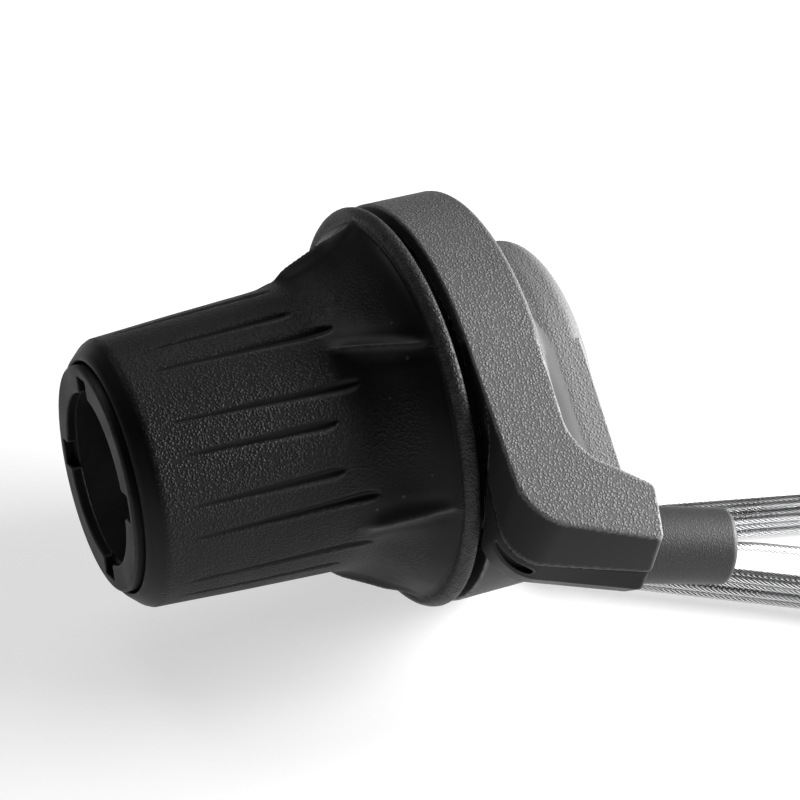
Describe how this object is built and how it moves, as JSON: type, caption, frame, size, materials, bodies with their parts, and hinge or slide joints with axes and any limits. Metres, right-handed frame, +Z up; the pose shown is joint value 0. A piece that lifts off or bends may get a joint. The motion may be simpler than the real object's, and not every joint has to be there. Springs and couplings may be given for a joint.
{
  "type": "twist shifter",
  "caption": "Handlebar twist-grip gear shifter for a bicycle, with ribbed rubber grip, indexed cable drum, clamp, casing stop and its new inner wire in a hank.",
  "frame": {"origin": "on the handlebar axis, at the middle of the clamp's bore wall", "axes": "+X along the handlebar, inboard toward the stem; +Z up; -Y forward, toward the front wheel"},
  "size_m": [0.14, 0.0813, 0.0542],
  "materials": {
    "textured_plastic": "fine grained, matte",
    "smooth_plastic": "smooth, satin",
    "inner_plastic": "plain",
    "grip_rubber": "pebbled, matte",
    "drum_plastic": "smooth acetal",
    "liner_plastic": "smooth",
    "stop_plastic": "fine grained",
    "screw_steel": "zinc plated",
    "spring_steel": "plain",
    "wire_steel": "stranded stainless wire",
    "cap_aluminium": "satin",
    "tie_plastic": "plain"
  },
  "bodies": {
    "housing_body": {"bracket": "inner_plastic", "housing": "textured_plastic", "lower_cover": "smooth_plastic", "cover_screw_1": "screw_steel", "cover_screw_2": "screw_steel", "clamp_bolt": "screw_steel", "clamp_nut": "screw_steel", "casing_stop": "stop_plastic", "cable_guide": "liner_plastic", "inner_wire": "wire_steel", "detent_spring": "spring_steel", "thrust_washer": "spring_steel", "end_washer": "liner_plastic", "end_ring": "smooth_plastic", "cable_tail": "wire_steel", "cable_hank": "wire_steel", "hank_tie_1": "tie_plastic", "hank_tie_2": "tie_plastic", "cable_end_cap": "cap_aluminium"},
    "grip_body": {"grip_core": "inner_plastic", "grip_sleeve": "grip_rubber", "cable_drum": "drum_plastic", "detent_ring": "spring_steel", "cable_nipple": "spring_steel"}
  },
  "joints": [
    {"name": "grip_twist", "type": "hinge", "parent": "housing_body", "child": "grip_body", "pos_m": [-0.03, 0, 0], "axis": [-1, 0, 0], "range_deg": [0, 55.2], "deforming": ["detent_spring"]}
  ]
}
